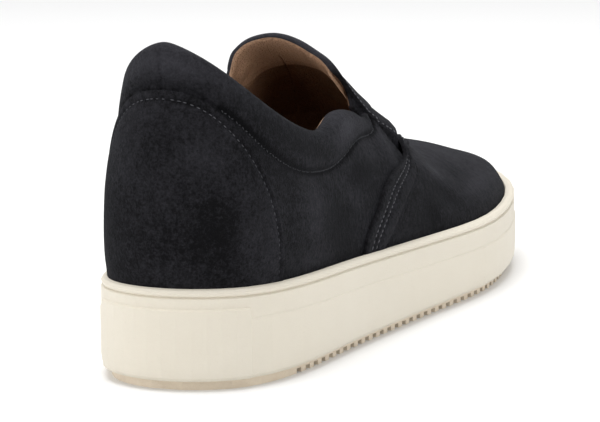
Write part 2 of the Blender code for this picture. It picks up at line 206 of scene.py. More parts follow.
stationCount = shoe["stations"]
toeStation = stationCount // 2
medialRows = slice(-2, 0, -1)
stationXY = np.c_[
    np.r_[outline["lateral"], -outline["medial"][medialRows]] * shoe["ballWidth"],
    (np.r_[outline["along"], outline["along"][medialRows]] - 0.5) * shoe["soleLength"],
]
distance = lengthAlong(np.r_[stationXY, stationXY[:1]])


def travel(turn):
    return np.interp(np.mod(turn, stationCount), np.arange(stationCount + 1), distance)


def outlineAt(turn, inset, middle=None):
    at = travel(turn)
    reach = 0.0002
    along = unit(closedCurve(distance, stationXY, at + reach) - closedCurve(distance, stationXY, at - reach))
    out = np.c_[along[:, 1], -along[:, 0]]
    moved = closedCurve(distance, stationXY, at) - np.reshape(inset, (-1, 1)) * out
    return moved - (soleMiddle if middle is None else middle)


everywhere = outlineAt(np.linspace(0, stationCount, 2000, endpoint=False), 0.0, np.zeros(2))
soleMiddle = (everywhere.min(axis=0) + everywhere.max(axis=0)) / 2


def rimHeight(y):
    share = np.asarray(y, dtype=float) / shoe["soleLength"] + 0.5
    heights = naturalCurve(rimLine["along"], rimLine["height"][:, None], share.ravel())
    return shoe["rimHeight"] * heights.reshape(share.shape)


def soleSpring(y):
    length = shoe["soleLength"]
    return shoe["toeSpring"] * np.clip((np.asarray(y) - 0.2 * length) / (0.3 * length), 0, 1) ** 2


featherInset = shoe["ledge"] + shoe["gap"]
feather = outlineAt(np.arange(stationCount), featherInset)
featherOut = (outlineAt(np.arange(stationCount), 0.0) - feather) / featherInset
featherFine = outlineAt(np.linspace(0, stationCount, 800), featherInset)
ridgeShape = np.c_[
    ridge["height"] * shoe["tongueHeight"],
    ridge["side"] * shoe["ballWidth"],
    ridge["fullness"],
]


def halfWidth(y, sign):
    half = featherFine[:400] if sign > 0 else featherFine[:399:-1]
    return np.interp(y, half[:, 1], half[:, 0])


def sectionHeight(x, y):
    share = y / shoe["soleLength"] + 0.5
    top, middle, power = naturalCurve(ridge["along"], ridgeShape, share)[0]
    edge = halfWidth(y, 1 if x > middle else -1)
    out = min(abs((x - middle) / (edge - middle)), 1.0)
    return rimHeight(y) + (top - rimHeight(y)) * (1 - out ** power) ** (1 / power)


def frontRib(start, end):
    share = 1 - np.cos(np.linspace(0, np.pi / 2, 200))
    plan = start[None, :2] + (end - start)[None, :2] * share[:, None]
    height = np.array([sectionHeight(x, y) for x, y in plan])
    height[0] = start[2]
    height += (end[2] - height[-1]) * share ** 2
    path = np.c_[plan, height]
    length = lengthAlong(path)
    return np.array([np.interp(levels * length[-1], length, path[:, i]) for i in range(3)]).T


def backRib(start, end, out, power, swell):
    swelling = swell * shoe["ledge"] * 6.75 * levels * (1 - levels) ** 2
    plan = start[:2] + np.outer(levels ** power, end[:2] - start[:2]) + np.outer(swelling, out)
    return np.c_[plan, start[2] + (end[2] - start[2]) * levels]


def allRibs():
    found = []
    for number in range(stationCount):
        row = int(nearSide(number))
        half = topline["lateral"][row] if number <= toeStation else -topline["medial"][row]
        start = np.r_[feather[number], rimHeight(feather[number][1])]
        end = np.array([
            half * shoe["ballWidth"],
            (topline["along"][row] - 0.5) * shoe["soleLength"],
            topline["height"][row] * shoe["collarHeight"],
        ])
        if row < len(lean["power"]):
            found.append(backRib(start, end, featherOut[number], lean["power"][row], lean["swell"][row]))
        else:
            found.append(frontRib(start, end))
    return np.array(found)


ribPoints = allRibs()


def lastPoint(turn, up):  # below the rim the wall goes straight down into the cup
    turn, up = np.broadcast_arrays(np.atleast_1d(turn).astype(float), np.atleast_1d(up).astype(float))
    shape = turn.shape
    turn, up = turn.ravel(), up.ravel()
    rows = closedCurve(distance, ribPoints.reshape(stationCount, -1), travel(turn))
    weights = naturalCurve(levels, np.eye(len(levels)), np.clip(up, 0, 1))
    points = np.einsum("nk,nkc->nc", weights, rows.reshape(-1, len(levels), 3))
    points[:, 2] += np.minimum(up, 0) * 0.060
    return points.reshape(shape + (3,))


def lastNormal(turn, up):
    reach = 0.004
    up = np.clip(np.asarray(up, dtype=float), 0, 1)
    low, high = np.clip(up - reach, 0, 1), np.clip(up + reach, 0, 1)
    forward = lastPoint(np.asarray(turn) + reach * 5, up) - lastPoint(np.asarray(turn) - reach * 5, up)
    rising = lastPoint(turn, high) - lastPoint(turn, low)
    return unit(np.cross(forward, rising))


def onLast(turn, up, lift):
    lift = np.asarray(lift, dtype=float)
    return lastPoint(turn, up) + lastNormal(turn, up) * lift[..., None]


# Making meshes

def layPath(rows, step):  # points (turn, up) at equal steps along a path over the last
    rows = np.asarray(rows, dtype=float)
    knots = np.arange(len(rows), dtype=float)
    fine = naturalCurve(knots, rows, np.linspace(0, knots[-1], 60 * len(rows)))
    length = lengthAlong(lastPoint(fine[:, 0], fine[:, 1]))
    at = np.linspace(0, length[-1], max(2, int(length[-1] / step)))
    return np.c_[np.interp(at, length, fine[:, 0]), np.interp(at, length, fine[:, 1])]


def mirrorPath(path):
    return np.c_[stationCount - path[:, 0], path[:, 1]]


def searchTree(points):
    tree = KDTree(len(points))
    for i, point in enumerate(points):
        tree.insert(point, i)
    tree.balance()
    return tree


def nearness(points, path, width):  # 1 on the path, fading to 0 over a width
    tree = searchTree(lastPoint(path[:, 0], path[:, 1]))
    return bell(np.array([tree.find(point)[2] for point in points]) / width)


def toObject(name, mesh, materials):
    data = bpy.data.meshes.new(name)
    mesh.to_mesh(data)
    mesh.free()
    for material in materials:
        data.materials.append(material)
    item = bpy.data.objects.new(name, data)
    bpy.context.scene.collection.objects.link(item)
    return item


def finishPiece(name, mesh, materials, body="root", sharp=50):
    piece = toObject(name, mesh, materials)
    piece.data.shade_smooth()
    piece.data.set_sharp_from_angle(angle=np.radians(sharp))
    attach(piece, body)
    print("made", name, len(piece.data.polygons), "faces")
    return piece


def layMarks(mesh, values):  # a soft value for each vertex, read by the material
    layer = mesh.verts.layers.float.new("marks_and_light")
    for vertex, value in zip(mesh.verts, values):
        vertex[layer] = value


# A grid that place() sets out, outer face first, then inner face
def sheetMesh(columns, rows, place, closed=False, lined=False):
    mesh = bmesh.new()
    bmesh.ops.create_grid(mesh, x_segments=columns, y_segments=rows, size=0.5)
    acrossLayer = mesh.verts.layers.float.new("across")
    alongLayer = mesh.verts.layers.float.new("along")
    for vertex in mesh.verts:
        vertex[acrossLayer], vertex[alongLayer] = vertex.co.x + 0.5, vertex.co.y + 0.5
    if closed:
        for vertex in mesh.verts:
            if vertex[acrossLayer] > 1 - 1e-5:
                vertex.co.x = -0.5
        bmesh.ops.remove_doubles(mesh, verts=mesh.verts[:], dist=1e-6)
    made = bmesh.ops.extrude_face_region(mesh, geom=mesh.faces[:], use_keep_orig=True)
    inner = [item for item in made["geom"] if isinstance(item, bmesh.types.BMVert)]
    fresh = set(inner)
    outer = [vertex for vertex in mesh.verts if vertex not in fresh]
    for vertices, face in ((outer, 0), (inner, 1)):
        across = np.array([vertex[acrossLayer] for vertex in vertices])
        along = np.array([vertex[alongLayer] for vertex in vertices])
        points = place(across, along)[face]
        for vertex, point in zip(vertices, points):
            vertex.co = point
    for face in mesh.faces:
        face.material_index = 1 if lined and all(vertex in fresh for vertex in face.verts) else 0
    mesh.verts.layers.float.remove(mesh.verts.layers.float["across"])
    mesh.verts.layers.float.remove(mesh.verts.layers.float["along"])
    bmesh.ops.recalc_face_normals(mesh, faces=mesh.faces[:])
    return mesh


# A row of stitches joined as one piece, on the relief of what it is sewn through
def sewn(name, path, lift, stitch, material, relief, mirrored=True):
    mesh = bmesh.new()
    for route in (path, mirrorPath(path)) if mirrored else (path,):
        points = onLast(route[:, 0], route[:, 1], lift + relief(route[:, 0], route[:, 1]))
        normals = lastNormal(route[:, 0], route[:, 1])
        length = lengthAlong(points)
        count = int(length[-1] / stitch["pitch"])
        for k in range(count):
            at = (k + 0.5) * stitch["pitch"]
            i = max(min(np.searchsorted(length, at), len(points) - 2), 1)
            tangent = Vector(points[i + 1] - points[i - 1]).normalized()
            normal = Vector(normals[i]).normalized()
            beside = normal.cross(tangent).normalized()
            swing = stitch.get("zigzag", 0.0) * (1 if k % 2 else -1)
            tangent = (tangent + beside * swing).normalized()
            beside = normal.cross(tangent).normalized()
            frameOf = Matrix((
                tangent * stitch["length"] / 2,
                beside * stitch["radius"],
                normal * stitch["radius"] * 0.8,
            )).transposed().to_4x4()
            frameOf.translation = Vector(points[i])
            bmesh.ops.create_uvsphere(mesh, u_segments=6, v_segments=5, radius=1.0, matrix=frameOf)
    bmesh.ops.recalc_face_normals(mesh, faces=mesh.faces[:])
    return finishPiece(name, mesh, [material])


# Materials

def feed(tree, socket, value):  # links a socket, or sets a plain value
    if isinstance(value, bpy.types.NodeSocket):
        tree.links.new(value, socket)
    else:
        socket.default_value = value


def addNode(tree, kind, inputs=None, **settings):
    node = tree.nodes.new(kind)
    for key, value in settings.items():
        setattr(node, key, value)
    for key, value in (inputs or {}).items():
        feed(tree, node.inputs[key], value)
    return node


def mixColours(tree, share, first, second):
    return addNode(tree, "ShaderNodeMix", {0: share, 6: first, 7: second}, data_type="RGBA").outputs[2]


def spread(tree, value, low, high, toLow=0.0, toHigh=1.0):
    node = addNode(tree, "ShaderNodeMapRange", {"Value": value, "From Min": low, "From Max": high,
                                                "To Min": toLow, "To Max": toHigh})
    return node.outputs["Result"]


def combine(tree, way, first, second):
    return addNode(tree, "ShaderNodeMath", {0: first, 1: second}, operation=way).outputs[0]


def noise(tree, where, scale, detail=3.0, roughness=0.55):
    return addNode(tree, "ShaderNodeTexNoise", {"Vector": where, "Scale": scale, "Detail": detail,
                                                "Roughness": roughness}).outputs["Fac"]


def newGroup(name, inputs):  # a tree with its inputs, its three outputs and the place on the object
    tree = bpy.data.node_groups.new(name, "ShaderNodeTree")
    for label, value in inputs.items():
        kind = "NodeSocketFloat" if isinstance(value, float) else "NodeSocketColor"
        socket = tree.interface.new_socket(name=label, in_out="INPUT", socket_type=kind)
        socket.default_value = value
    for label in ("Color", "Roughness", "Height"):
        kind = "NodeSocketColor" if label == "Color" else "NodeSocketFloat"
        tree.interface.new_socket(name=label, in_out="OUTPUT", socket_type=kind)
    start = tree.nodes.new("NodeGroupInput")
    end = tree.nodes.new("NodeGroupOutput")
    where = addNode(tree, "ShaderNodeTexCoord").outputs["Object"]
    return tree, start.outputs, end.inputs, where


def suedeGroup():  # short brushed nap: soft patches, mottle and fibres
    tree, given, out, where = newGroup("suede nap", {
        "Dark": (0.012, 0.013, 0.017, 1),
        "Light": (0.045, 0.047, 0.056, 1),
        "Patch scale": 34.0,
        "Patch strength": 0.24,
        "Fibre scale": 1100.0,
        "Marks and painted light": 0.0,
    })
    patch = spread(tree, noise(tree, where, given["Patch scale"], 3.0, 0.5), 0.32, 0.68)
    patch = combine(tree, "MULTIPLY", combine(tree, "SUBTRACT", patch, 0.5), given["Patch strength"])
    mottle = spread(tree, noise(tree, where, 420.0, 5.0, 0.75), 0.32, 0.68, -0.16, 0.16)
    fibre = noise(tree, where, given["Fibre scale"], 3.0, 0.75)
    fleck = spread(tree, fibre, 0.32, 0.68, -0.17, 0.17)
    tone = combine(tree, "ADD", combine(tree, "ADD", patch, mottle), combine(tree, "ADD", fleck, 0.16))
    # the marks add brushed nap with painted highlights and painted shade
    tone = combine(tree, "ADD", tone, given["Marks and painted light"])
    shade = spread(tree, tone, 0.0, 1.0)
    tree.links.new(mixColours(tree, shade, given["Dark"], given["Light"]), out["Color"])
    tree.links.new(spread(tree, tone, 0.0, 1.0, 0.97, 0.82), out["Roughness"])
    tree.links.new(combine(tree, "ADD", fibre, combine(tree, "MULTIPLY", mottle, 1.5)), out["Height"])
    return tree


def leatherGroup():  # smooth lining leather: fine grain, cloudy colour and soft wrinkles
    tree, given, out, where = newGroup("leather grain", {
        "Base": (0.32, 0.17, 0.09, 1),
        "Lighter": (0.45, 0.27, 0.16, 1),
        "Grain scale": 700.0,
        "Wrinkle scale": 60.0,
        "Cloud strength": 1.0,
        "Marks and painted light": 0.0,
    })
    cells = addNode(tree, "ShaderNodeTexVoronoi", {"Vector": where, "Scale": given["Grain scale"]},
                    feature="DISTANCE_TO_EDGE").outputs["Distance"]
    cloud = spread(tree, noise(tree, where, 45.0, 4.0, 0.6), 0.3, 0.7)
    wrinkle = noise(tree, where, given["Wrinkle scale"], 2.0, 0.45)
    pore = spread(tree, cells, 0.0, 0.12)
    shade = combine(tree, "MULTIPLY", cloud, spread(tree, pore, 0.0, 1.0, 0.75, 1.0))
    shade = combine(tree, "MULTIPLY", shade, given["Cloud strength"])
    # the marks add wear with painted highlights and painted shade
    shade = spread(tree, combine(tree, "ADD", shade, given["Marks and painted light"]), 0.0, 1.0)
    tree.links.new(mixColours(tree, shade, given["Base"], given["Lighter"]), out["Color"])
    tree.links.new(spread(tree, cloud, 0.0, 1.0, 0.62, 0.46), out["Roughness"])
    tree.links.new(combine(tree, "ADD", combine(tree, "MULTIPLY", pore, 0.25), wrinkle), out["Height"])
    return tree


def rubberGroup():  # moulded rubber: faint clouding, specks, darker towards the floor and fine mould grain
    tree, given, out, where = newGroup("moulded rubber", {
        "Base": (0.78, 0.71, 0.58, 1),
        "Darker": (0.55, 0.47, 0.35, 1),
        "Darkening height": 0.006,
        "Darkening strength": 0.35,
    })
    height = addNode(tree, "ShaderNodeSeparateXYZ", {"Vector": where}).outputs["Z"]
    cloud = noise(tree, where, 22.0, 4.0, 0.6)
    smear = noise(tree, where, 150.0, 5.0, 0.7)
    low = combine(tree, "DIVIDE", height, given["Darkening height"])
    low = spread(tree, low, 0.0, 1.0, 1.0, 0.0)
    lowDarkening = combine(tree, "MULTIPLY", low, spread(tree, smear, 0.35, 0.65))
    lowDarkening = combine(tree, "MULTIPLY", lowDarkening, given["Darkening strength"])
    veil = spread(tree, cloud, 0.35, 0.75, 0.0, 0.10)
    speck = spread(tree, noise(tree, where, 480.0, 2.0, 0.5), 0.70, 0.76, 0.0, 0.18)
    share = combine(tree, "MAXIMUM", combine(tree, "ADD", lowDarkening, veil), speck)
    tree.links.new(mixColours(tree, share, given["Base"], given["Darker"]), out["Color"])
    tree.links.new(spread(tree, cloud, 0.3, 0.7, 0.50, 0.62), out["Roughness"])
    tree.links.new(noise(tree, where, 1600.0, 2.0, 0.6), out["Height"])
    return tree


groups = {"suede": suedeGroup(), "leather": leatherGroup(), "rubber": rubberGroup()}


def dressed(name, kind, values, bumpDistance, sheen=0.0, specular=0.5, readsMarksAndLight=False):
    material = bpy.data.materials.new(name)
    material.use_nodes = True
    tree = material.node_tree
    shader = tree.nodes["Principled BSDF"]
    look = addNode(tree, "ShaderNodeGroup", values, node_tree=groups[kind])
    # reads the vertex marks: nap on suede, wear on lining, with painted highlights and painted shade
    if readsMarksAndLight:
        marks = addNode(tree, "ShaderNodeAttribute", attribute_name="marks_and_light")
        tree.links.new(marks.outputs["Fac"], look.inputs["Marks and painted light"])
    bump = addNode(tree, "ShaderNodeBump", {"Height": look.outputs["Height"], "Distance": bumpDistance,
                                            "Strength": 1.0})
    tree.links.new(look.outputs["Color"], shader.inputs["Base Color"])
    tree.links.new(look.outputs["Roughness"], shader.inputs["Roughness"])
    tree.links.new(bump.outputs["Normal"], shader.inputs["Normal"])
    shader.inputs["Specular IOR Level"].default_value = specular
    if sheen:
        shader.inputs["Sheen Weight"].default_value = sheen
        shader.inputs["Sheen Roughness"].default_value = 0.40
        shader.inputs["Sheen Tint"].default_value = (0.62, 0.66, 0.80, 1)
    return material


suedeTones = {"Dark": (0.0034, 0.0034, 0.0040, 1), "Light": (0.0400, 0.0392, 0.0465, 1)}
suedeSurface = {"bumpDistance": 0.0005, "sheen": 0.035, "specular": 0.10, "readsMarksAndLight": True}
suede = dressed("navy suede", "suede", suedeTones, **suedeSurface)
suedeCounter = dressed("navy suede counter", "suede", {**suedeTones, "Patch scale": 42.0}, **suedeSurface)
# the marks lay its lighter colour as wear and as painted highlights, and hold it dark as painted shade
lining = dressed("tan lining", "leather", {
    "Base": (0.092, 0.035, 0.011, 1),
    "Lighter": (0.66, 0.41, 0.26, 1),
    "Cloud strength": 0.16,
}, 0.0012, specular=0.3, readsMarksAndLight=True)
footbedLeather = dressed("tan footbed", "leather", {
    "Base": (0.28, 0.15, 0.08, 1),
    "Lighter": (0.44, 0.27, 0.16, 1),
    "Wrinkle scale": 25.0,
}, 0.0006, specular=0.4)
thread = dressed("grey thread", "suede", {
    "Dark": (0.085, 0.085, 0.095, 1),
    "Light": (0.30, 0.30, 0.33, 1),
    "Fibre scale": 2600.0,
}, 0.0001)
darkThread = dressed("dark thread", "suede", {
    "Dark": (0.040, 0.041, 0.047, 1),
    "Light": (0.16, 0.16, 0.18, 1),
    "Fibre scale": 2600.0,
}, 0.0001)
midsoleRubber = dressed("cream midsole", "rubber", {
    "Base": (0.690, 0.642, 0.545, 1),
    "Darker": (0.53, 0.46, 0.35, 1),
}, 0.00012, specular=0.5)
outsoleRubber = dressed("cream outsole", "rubber", {
    "Base": (0.80, 0.70, 0.56, 1),
    "Darker": (0.56, 0.45, 0.33, 1),
    "Darkening height": 0.003,
    "Darkening strength": 0.45,
}, 0.0002, specular=0.45)


# Seams of the upper, as stations round the shoe and shares of the way up

padSeam = table("turn up", [
    (0.00, 0.870),
    (0.60, 0.850),
    (1.00, 0.818),
    (1.41, 0.779),
    (1.72, 0.734),
    (2.14, 0.706),
    (2.50, 0.717),
    (2.97, 0.752),
    (3.58, 0.772),
    (4.08, 0.806),
    (4.60, 0.850),
    (5.00, 0.876),
    (5.36, 0.890),
])


def padSeamUp(turn):  # seam under the padded collar
    near = np.minimum(nearSide(turn), padSeam["turn"][-1])
    return naturalCurve(padSeam["turn"], padSeam["up"][:, None], near.ravel())[:, 0].reshape(np.shape(turn))


# Edges of the vamp band, from the rim up to the middle of the throat
bandEdges = table("rearTurn rearUp frontTurn frontUp", [
    (3.48, 0.008, 3.92, 0.008),
    (3.56, 0.140, 4.17, 0.125),
    (3.87, 0.300, 4.48, 0.265),
    (4.24, 0.455, 4.86, 0.365),
    (4.72, 0.546, 5.42, 0.460),
    (5.60, 0.560, 6.05, 0.505),
    (8.00, 0.548, 8.00, 0.492),
    (10.00, 0.545, 10.00, 0.488),
])
joint = {"start": 3.60, "tuck": -0.06, "overlap": 0.006}  # the tuck reaches down into the cup
middleTurn = (bandEdges["rearTurn"] + bandEdges["frontTurn"]) / 2
middleUp = (bandEdges["rearUp"] + bandEdges["frontUp"]) / 2
throatCorner = table("turn up", [
    (4.85, 1.000),
    (5.05, 0.985),
    (5.20, 0.955),
    (5.32, 0.920),
    (5.42, 0.880),
])
quarterEdge = table("up turn", [
    (0.000, 5.20),
    (0.548, 5.22),
    (0.673, 5.30),
    (0.784, 5.38),
    (0.860, 5.42),
    (1.000, 5.42),
])


def bandMiddleUp(turn):  # height of the joint between quarters and vamp, under the band
    return np.interp(nearSide(turn), np.r_[joint["start"], middleTurn], np.r_[joint["tuck"], middleUp])


def openingUp(turn):  # edge of the quarters: the collar, then round the front corner
    return np.interp(nearSide(turn), throatCorner["turn"], throatCorner["up"])


def quarterFront(up):  # front edge of the quarters, beside the tongue
    return np.interp(up, quarterEdge["up"], quarterEdge["turn"])


# Creases and swells: start and end on the last, width and height in millimetres
foldColumns = "turnA upA turnB upB width height"
quarterFolds = table(foldColumns, [
    (5.02, 0.90, 4.72, 0.62, 5.0, 0.9),
    (4.72, 0.62, 4.55, 0.48, 6.0, 0.5),
    (4.55, 0.92, 4.30, 0.66, 7.0, -0.6),
    (2.95, 0.62, 4.55, 0.47, 1.4, 0.35),
    (2.95, 0.64, 4.55, 0.49, 2.0, -0.25),
    (2.45, 0.60, 2.55, 0.15, 9.0, 0.5),
    (3.15, 0.58, 3.20, 0.12, 10.0, -0.4),
    (1.95, 0.60, 2.10, 0.20, 8.0, -0.5),
    (15.10, 0.90, 15.40, 0.55, 7.0, 0.7),
    (17.00, 0.60, 15.60, 0.44, 3.0, 0.4),
    (17.60, 0.60, 17.50, 0.15, 10.0, 0.5),
    (16.70, 0.56, 16.80, 0.12, 10.0, -0.4),
])
vampFolds = table(foldColumns, [
    (5.60, 0.40, 6.60, 0.28, 5.0, 0.9),
    (5.20, 0.30, 5.95, 0.14, 6.0, -1.0),
    (4.75, 0.19, 5.20, 0.03, 6.0, -0.8),
    (5.00, 0.27, 5.50, 0.08, 5.0, 0.5),
    (6.80, 0.40, 7.40, 0.30, 9.0, -0.6),
    (13.60, 0.40, 13.00, 0.25, 7.0, 0.7),
    (14.60, 0.30, 14.10, 0.12, 7.0, -0.9),
    (8.50, 0.42, 11.50, 0.42, 10.0, -0.5),
])
counterFolds = table(foldColumns, [
    (0.60, 0.75, 0.70, 0.25, 14.0, 0.5),
    (-0.70, 0.70, -0.60, 0.20, 14.0, 0.4),
    (1.35, 0.45, 1.30, 0.10, 8.0, -0.4),
    (-1.35, 0.45, -1.30, 0.10, 8.0, -0.4),
])
throatHollow = {"turn": 6.5, "up": 0.52, "reach": 11.0, "depth": -1.9}  # reach and depth in millimetres


def throatDip(points):  # both sides of the throat sink a little under the band
    total = np.zeros(len(points))
    for turn in (throatHollow["turn"], stationCount - throatHollow["turn"]):
        middle = lastPoint(turn, throatHollow["up"])[0]
        away = np.linalg.norm(points - middle, axis=1) * 1000
        total += throatHollow["depth"] / 1000 * bell(away / throatHollow["reach"])
    return total


def foldRelief(points, folds):  # height of the creases at each point
    height = np.zeros(len(points))
    for turnA, upA, turnB, upB, width, rise in zip(*folds.values()):
        start, end = lastPoint([turnA, turnB], [upA, upB])
        run = end - start
        share = np.clip((points - start) @ run / (run @ run), 0, 1)
        away = np.linalg.norm(points - start - share[:, None] * run, axis=1)
        fade = np.sin(np.pi * np.clip(share * 0.8 + 0.1, 0, 1))
        height += fade * rise / 1000 * bell(away * 1000 / width)
    return height


# Marks on the suede, partly brushed nap and partly painted highlights and painted shade: place, reach and
# strength, lighter or darker
markColumns = "turn up turnReach upReach strength"
napAndLightMarks = table(markColumns, [
    (2.40, 0.42, 0.30, 0.22, 0.22),
    (2.95, 0.30, 0.28, 0.20, -0.14),
    (3.35, 0.50, 0.30, 0.12, 0.10),
    (0.90, 0.35, 0.50, 0.20, -0.16),
    (1.55, 0.30, 0.20, 0.25, 0.16),
    (0.40, 0.60, 0.50, 0.10, 0.10),
    (4.20, 0.75, 0.50, 0.10, 0.08),
    (6.60, 0.36, 0.50, 0.06, 0.22),
    (7.80, 0.30, 0.90, 0.16, 0.22),
    (9.60, 0.40, 1.60, 0.20, 0.24),
    (6.90, 0.13, 0.60, 0.07, 0.38),
    (8.60, 0.12, 0.90, 0.08, 0.25),
    (0.10, 0.96, 1.30, 0.07, 0.52),
    (1.60, 0.90, 0.80, 0.08, -0.12),
    (2.60, 0.88, 0.50, 0.06, -0.18),
    (3.75, 0.93, 0.50, 0.09, 0.55),
    (3.67, 0.58, 0.40, 0.09, -0.26),
    (2.97, 0.43, 0.35, 0.12, -0.16),
    (2.46, 0.07, 0.35, 0.08, 0.20),
    (1.16, 0.33, 0.22, 0.20, 0.24),
    (0.00, 0.15, 1.20, 0.14, -0.12),
    (5.50, 0.22, 0.40, 0.06, -0.16),
    (16.50, 0.45, 0.60, 0.20, 0.14),
    (18.60, 0.40, 0.60, 0.20, -0.12),
    (12.50, 0.30, 0.80, 0.08, 0.12),
])


def markTone(marks, turn, up):  # sum of soft marks, each with its own place and reach
    total = np.zeros(len(turn))
    for markTurn, markUp, turnReach, upReach, strength in zip(*marks.values()):
        apart = np.abs(np.mod(turn - markTurn + toeStation, stationCount) - toeStation)
        total += strength * bell(apart / turnReach) * bell((up - markUp) / upReach)
    return total


foldAndSeamLight = {"fold": 170, "seam": -0.35, "seamReach": 0.0012}  # painted highlights on crests, painted shade in troughs and seams


def nearestShare(points):  # station and share of the last under each point
    turn, up = np.meshgrid(np.linspace(0, stationCount, 401)[:-1], np.linspace(0, 1, 61), indexing="ij")
    turn, up = turn.ravel(), up.ravel()
    tree = searchTree(lastPoint(turn, up))
    found = [tree.find(point)[1] for point in points]
    return turn[found], up[found]


def markedAndLit(mesh, folds=None, seams=(), marks=napAndLightMarks, rim=None):  # lays the soft marks, painted highlights and painted shade on a mesh
    points = np.array([vertex.co[:] for vertex in mesh.verts])
    turn, up = nearestShare(points)
    values = markTone(marks, turn, up)
    if folds:
        values += foldAndSeamLight["fold"] * foldRelief(points, folds)
    for path in seams:
        values += foldAndSeamLight["seam"] * nearness(points, path, foldAndSeamLight["seamReach"])
    if rim:
        values += rim(turn, up)
    layMarks(mesh, values)
    return mesh


# Quarters: the back and both sides in suede, with the padded collar rolled over the edge

quarters = {
    "thickness": 0.0011,
    "padPuff": 0.0017,
    "seamDepth": 0.0007,
    "seamWidth": 0.0011,
    "backSeamDepth": 0.0006,
    "backSeamWidth": 0.0008,
    "backSeamFrom": 0.80,
    "rollEnd": 118.0,  # degrees over the collar's edge to where the lining starts
    "collarShare": 0.985,
    "crown": 0.42,
    "skive": 0.6,  # share of the thickness that the rolled edge loses
}


def collarPresent(turn):
    return 1 - ease((nearSide(turn) - 4.3) / 0.5)


def collarShare(turn, up):
    edge = np.interp(nearSide(turn), np.arange(6), (0.880, 0.832, 0.715, 0.700, 0.860, 1.000))
    return np.clip((up - edge) / np.maximum(1 - edge, 0.02), 0, 1)


def innerLift(turn, up):
    return -(shoe["wall"] + shoe["padDepth"] * collarPresent(turn) * ease(collarShare(turn, up) * 1.6))


def puffLift(turn, up):  # the padding above its seam
    seam = padSeamUp(turn)
    share = np.clip((up - seam) / (1 - seam), 0, 1)
    fade = 0.45 + 0.55 * (1 - ease((nearSide(turn) - 4.2) / 0.8))
    return quarters["padPuff"] * fade * arcRise(share)


def collarRising(turn):  # way up at the collar's edge
    edge = openingUp(turn)
    return unit(lastPoint(turn, edge) - lastPoint(turn, quarters["collarShare"] * edge))


def collarRoll(turn, angle):  # from the outer face over the edge to the inner face
    top = quarters["collarShare"] * openingUp(turn)
    outerTop = onLast(turn, top, puffLift(turn, top))
    innerTop = onLast(turn, top, innerLift(turn, top))
    thickness = np.linalg.norm(outerTop - innerTop, axis=-1)[..., None]
    across = (1 - np.cos(angle))[..., None] / 2
    crown = np.sin(angle)[..., None] * thickness * quarters["crown"]
    return outerTop * (1 - across) + innerTop * across + collarRising(turn) * crown


def collarRelief(turn, up):
    return puffLift(turn, up) + foldRelief(lastPoint(turn, up), quarterFolds)


padPath = layPath([row for row in zip(*padSeam.values()) if row[0] > 0.9], 0.0004)
backSeamPath = np.c_[np.zeros(60), np.linspace(0.84, 1.0, 60)]


def quarterSurface(across, along):
    bands = np.interp(along, [0.0, 0.55, 0.80, 1.0], [0.0, 1.0, 2.0, 3.0])  # side, pad, roll
    turn = (across * 2 - 1) * quarterEdge["turn"][-1]
    bottom = np.where(np.abs(turn) < joint["start"], joint["tuck"], bandMiddleUp(turn) + joint["overlap"])
    seam = np.minimum(padSeamUp(turn), openingUp(turn) - 0.02)
    top = quarters["collarShare"] * openingUp(turn)
    low = np.clip(bands, 0, 1)
    mid = np.clip(bands - 1, 0, 1)
    up = bottom + (seam - bottom) * (1 - (1 - low) ** 1.25) + (top - seam) * mid ** 1.2
    turn = (across * 2 - 1) * quarterFront(up)
    base = lastPoint(turn, up)
    seamNear = np.maximum(nearness(base, padPath, quarters["seamWidth"]),
                          nearness(base, mirrorPath(padPath), quarters["seamWidth"]))
    backNear = nearness(base, backSeamPath, quarters["backSeamWidth"]) * (up > quarters["backSeamFrom"])
    relief = foldRelief(base, quarterFolds)
    relief -= quarters["seamDepth"] * seamNear + quarters["backSeamDepth"] * backNear
    outer = onLast(turn, up, puffLift(turn, up) + relief)
    angle = np.radians(quarters["rollEnd"]) * np.clip(bands - 2, 0, 1)
    normal = lastNormal(turn, up)
    rolled = collarRoll(turn, angle) + normal * (relief * np.cos(angle))[:, None]
    outer = np.where((bands > 2)[:, None], rolled, outer)
    facing = normal * np.cos(angle)[:, None] + collarRising(turn) * np.sin(angle)[:, None]
    skive = 1 - quarters["skive"] * ease(bands - 2.2)
    return outer, outer - facing * (quarters["thickness"] * skive)[:, None]


quarterMesh = sheetMesh(440, 84, quarterSurface)
print("quarters laid")
quarterSeams = (padPath, mirrorPath(padPath))
quarterPiece = finishPiece("suede_quarters", markedAndLit(quarterMesh, quarterFolds, quarterSeams), [suede])
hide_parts("upper")


# Vamp: the front of the upper, from under the band to the toe

vamp = {"thickness": 0.0011, "start": 3.61}


def vampSurface(across, along):
    turn = vamp["start"] + across * (stationCount - 2 * vamp["start"])
    top = bandMiddleUp(turn) - joint["overlap"]
    up = joint["tuck"] + (top - joint["tuck"]) * along
    base = lastPoint(turn, up)
    lift = foldRelief(base, vampFolds) + throatDip(base)
    return onLast(turn, up, lift), onLast(turn, up, lift - vamp["thickness"])


vampPiece = finishPiece("suede_vamp", markedAndLit(sheetMesh(420, 56, vampSurface), vampFolds), [suede])
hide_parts("upper")


# Lining: tan leather inside, from the collar's edge down to the footbed

